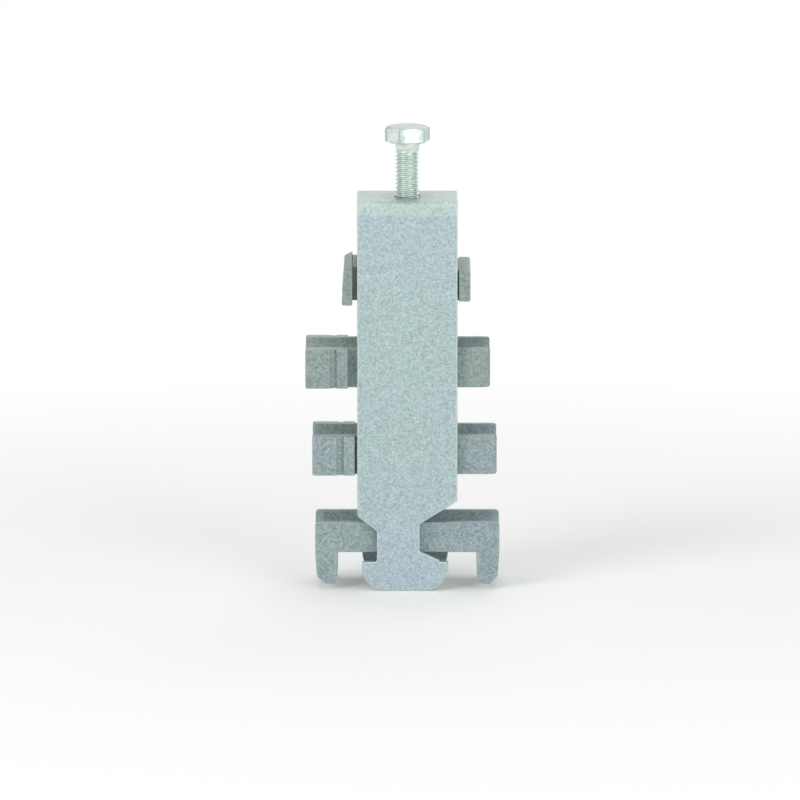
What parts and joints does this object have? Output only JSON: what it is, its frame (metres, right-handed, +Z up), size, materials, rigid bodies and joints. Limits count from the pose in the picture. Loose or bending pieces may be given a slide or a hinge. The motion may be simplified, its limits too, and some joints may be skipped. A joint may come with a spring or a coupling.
{
  "type": "cable clamp",
  "caption": "Upright cable clamp for a slotted rail: a hooked steel strap, stacked grey saddles between its legs and a hexagon bolt that presses the stack down.",
  "frame": {"origin": "middle of the counter saddle's flat seat, where it rests on the rail's two lips", "axes": "+X along the cables, +Y along the rail away from the viewer, +Z up the strap towards the bolt head"},
  "size_m": [0.0484, 0.023, 0.1157],
  "materials": {
    "galvanised_steel": "matt galvanised, finely speckled",
    "grey_plastic": "moulded grey, matt",
    "plain_steel": "stamped, thinly zinc plated",
    "bright_zinc": "bright zinc plated"
  },
  "bodies": {
    "strap": {"strap": "galvanised_steel"},
    "counter_saddle": {"counter_saddle": "grey_plastic"},
    "lower_saddle": {"lower_saddle": "grey_plastic"},
    "upper_saddle": {"upper_saddle": "grey_plastic"},
    "pressure_saddle": {"pressure_saddle": "grey_plastic", "thrust_plate": "plain_steel"},
    "bolt": {"bolt": "bright_zinc"}
  },
  "joints": [
    {"name": "counter_saddle_slide", "type": "slide", "parent": "strap", "child": "counter_saddle", "axis": [0, 0, 1], "range_m": [0, 0.0035]},
    {"name": "lower_saddle_slide", "type": "slide", "parent": "strap", "child": "lower_saddle", "axis": [0, 0, 1], "range_m": [-0.004, 0.003]},
    {"name": "upper_saddle_slide", "type": "slide", "parent": "strap", "child": "upper_saddle", "axis": [0, 0, 1], "range_m": [-0.0075, 0.0005]},
    {"name": "pressure_saddle_slide", "type": "slide", "parent": "strap", "child": "pressure_saddle", "axis": [0, 0, 1], "range_m": [-0.01, 0.012]},
    {"name": "bolt_turn", "type": "hinge", "parent": "pressure_saddle", "child": "bolt", "pos_m": [0, 0, 0.0703], "axis": [0, 0, 1], "range_deg": [-3600, 4320]}
  ],
  "couplings": [
    {"joint": "bolt_turn", "follows": "pressure_saddle_slide", "rad_per_m": 6283.2}
  ]
}
